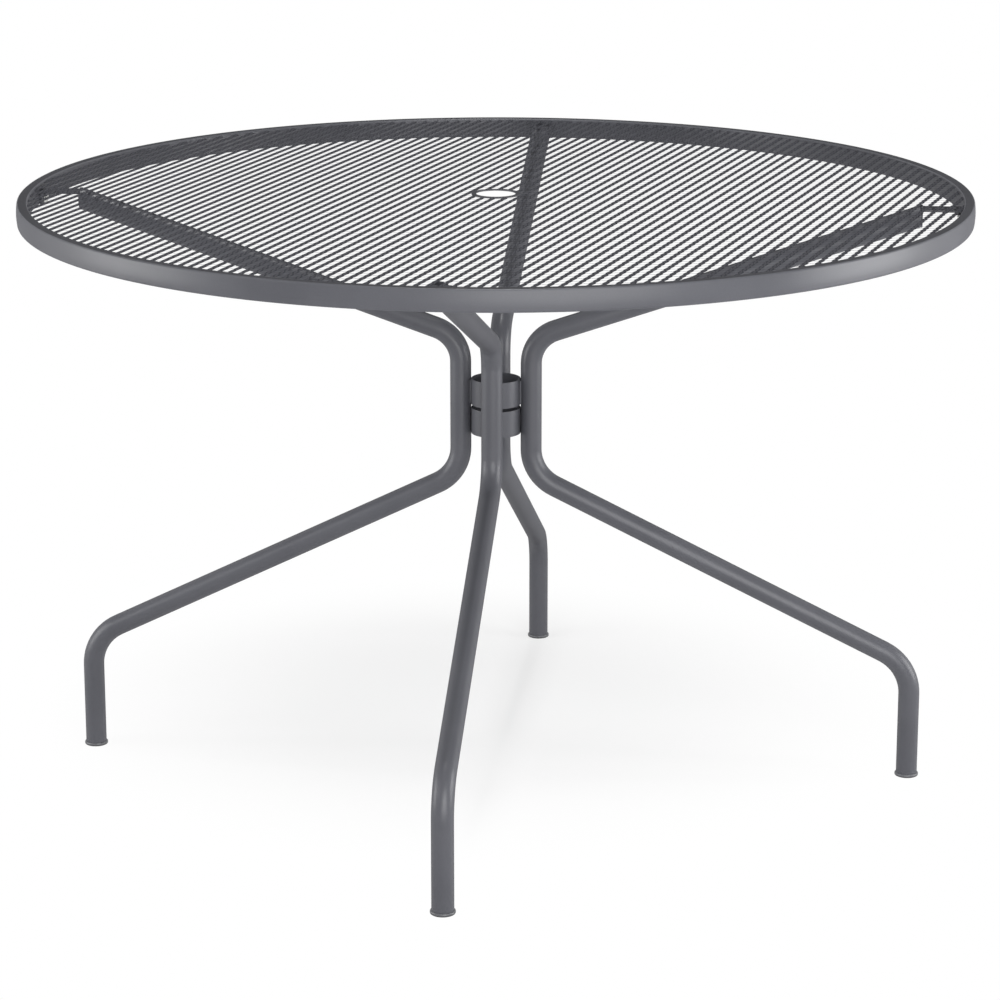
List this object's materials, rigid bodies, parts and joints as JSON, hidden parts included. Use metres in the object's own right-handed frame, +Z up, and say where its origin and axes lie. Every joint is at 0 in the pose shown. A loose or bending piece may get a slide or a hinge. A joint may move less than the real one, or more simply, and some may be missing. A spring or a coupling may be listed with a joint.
{
  "type": "round patio table",
  "caption": "Round outdoor dining table with an expanded-metal top in a flat rim, a parasol hole, and bent tube legs that meet at a hub of stacked collars.",
  "frame": {"origin": "on the floor, under the centre of the round top", "axes": "+Z up along the table's axis; the legs lie along X and Y, with the front leg towards -Y"},
  "size_m": [1.2, 1.2, 0.757],
  "materials": {
    "powder_coat": "satin anthracite powder coat",
    "glide_plastic": "moulded grey plastic",
    "plated_steel": "bright zinc plate"
  },
  "bodies": {
    "root": {"rim": "powder_coat", "mesh_top": "powder_coat", "umbrella_ring": "powder_coat", "upper_hub_collar": "powder_coat", "lower_hub_collar": "powder_coat", "hub_welds": "powder_coat", "leg_front": "powder_coat", "leg_right": "powder_coat", "leg_back": "powder_coat", "leg_left": "powder_coat", "arm_end_plate_front": "powder_coat", "arm_end_plate_right": "powder_coat", "arm_end_plate_back": "powder_coat", "arm_end_plate_left": "powder_coat", "mounting_strap_front": "powder_coat", "mounting_strap_right": "powder_coat", "mounting_strap_back": "powder_coat", "mounting_strap_left": "powder_coat", "foot_glide_front": "glide_plastic", "foot_glide_right": "glide_plastic", "foot_glide_back": "glide_plastic", "foot_glide_left": "glide_plastic", "strap_screws": "plated_steel", "strap_washers": "plated_steel", "rivet_nuts": "plated_steel"}
  },
  "joints": []
}
